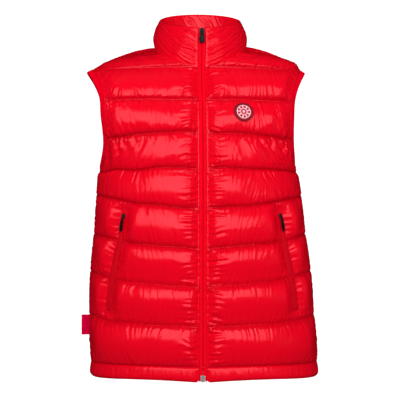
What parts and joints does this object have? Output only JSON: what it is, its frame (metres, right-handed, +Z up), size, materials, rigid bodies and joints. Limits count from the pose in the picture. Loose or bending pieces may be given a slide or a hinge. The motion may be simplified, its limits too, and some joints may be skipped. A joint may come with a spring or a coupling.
{
  "type": "vest",
  "caption": "Sleeveless quilted down vest with a stand collar, full-length front zip, slanting zip pockets and gathered hem, filled out as worn, open at neck, armholes and hem",
  "frame": {"origin": "in the middle of the neck opening, level with the tops of the shoulder seams, where the wearer's shoulders carry the vest", "axes": "+Z up, the front faces -Y, +X is the wearer's left"},
  "size_m": [0.4489, 0.2774, 0.6891],
  "materials": {
    "shell": "glossy down-proof nylon taffeta",
    "band": "flat nylon band, slightly duller",
    "tape": "matt woven zip tape",
    "coil": "moulded nylon coil",
    "slider": "dark nickel plate",
    "zip_box": "plain zinc",
    "pull": "moulded satin",
    "badge": "woven, with a paler middle",
    "tab": "woven ribbon"
  },
  "bodies": {
    "vest": {"front_right": "shell", "front_left": "shell", "back": "shell", "hem_front_right": "shell", "hem_front_left": "shell", "hem_back": "shell", "collar": "shell", "armhole_band_right": "band", "armhole_band_left": "band", "zip_tape_right": "tape", "zip_tape_left": "tape", "pocket_zip_right": "tape", "pocket_zip_left": "tape", "zip_chain": "coil", "zip_slider": "slider", "pocket_slider_right": "slider", "pocket_slider_left": "slider", "zip_box": "zip_box", "badge": "badge", "side_tab": "tab"},
    "zip_pull_body": {"zip_pull": "pull"},
    "pocket_pull_right_body": {"pocket_pull_right": "pull"},
    "pocket_pull_left_body": {"pocket_pull_left": "pull"}
  },
  "joints": [
    {"name": "zip_pull_hinge", "type": "hinge", "parent": "vest", "child": "zip_pull_body", "pos_m": [-0.00146, -0.07747, 0.02327], "axis": [-0.999, -0.0436, 0.0058], "range_deg": [0, 150]},
    {"name": "pocket_pull_right_hinge", "type": "hinge", "parent": "vest", "child": "pocket_pull_right_body", "pos_m": [-0.14588, -0.10885, -0.31833], "axis": [-0.8575, 0.4883, 0.1621], "range_deg": [0, 140]},
    {"name": "pocket_pull_left_hinge", "type": "hinge", "parent": "vest", "child": "pocket_pull_left_body", "pos_m": [0.14362, -0.0921, -0.31796], "axis": [-0.7941, -0.5914, -0.1404], "range_deg": [0, 140]}
  ]
}
